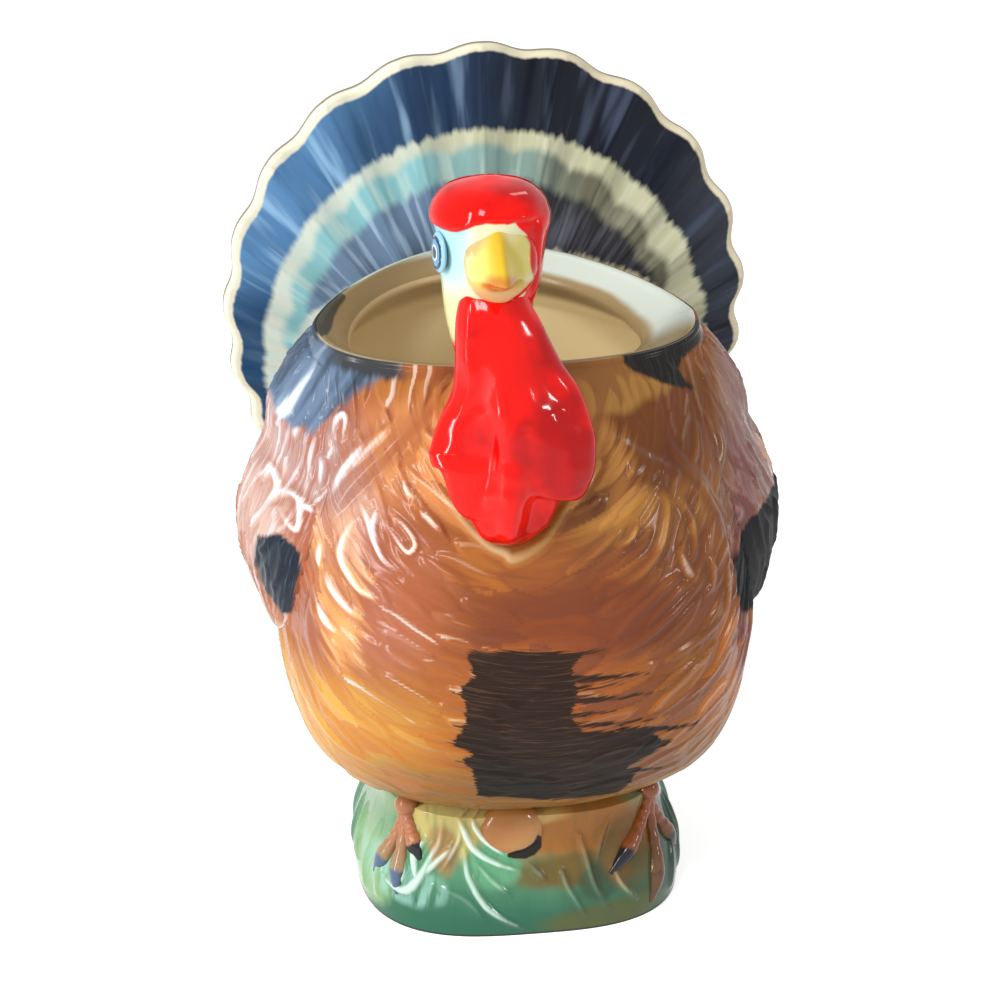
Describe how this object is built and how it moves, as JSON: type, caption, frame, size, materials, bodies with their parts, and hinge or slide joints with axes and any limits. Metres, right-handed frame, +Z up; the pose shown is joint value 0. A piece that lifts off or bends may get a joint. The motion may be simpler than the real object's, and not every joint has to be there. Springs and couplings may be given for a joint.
{
  "type": "turkey planter",
  "caption": "Hollow glazed turkey planter: open-topped bird body on a grass base, with a raised fan of tail feathers, folded wings and a neck with a wattle.",
  "frame": {"origin": "centre of the part's bounding box on the plane that the base's foot ring stands on", "axes": "+Z up, the bird faces -Y and its left side is +X"},
  "size_m": [0.1176, 0.1076, 0.1758],
  "materials": {
    "feather_glaze": "gloss",
    "wing_glaze": "gloss",
    "grass_glaze": "gloss",
    "tail_glaze": "gloss",
    "red_glaze": "high gloss",
    "beak_glaze": "gloss",
    "eye_glaze": "gloss",
    "foot_glaze": "gloss"
  },
  "bodies": {
    "root": {"body_vessel": "feather_glaze", "grass_base": "grass_glaze", "tail_fan": "tail_glaze", "wing_left": "wing_glaze", "wing_right": "wing_glaze", "head_and_neck": "red_glaze", "wattle": "red_glaze", "beak": "beak_glaze", "eye_left": "eye_glaze", "eye_right": "eye_glaze", "foot_left": "foot_glaze", "foot_right": "foot_glaze", "knoll": "foot_glaze"}
  },
  "joints": []
}
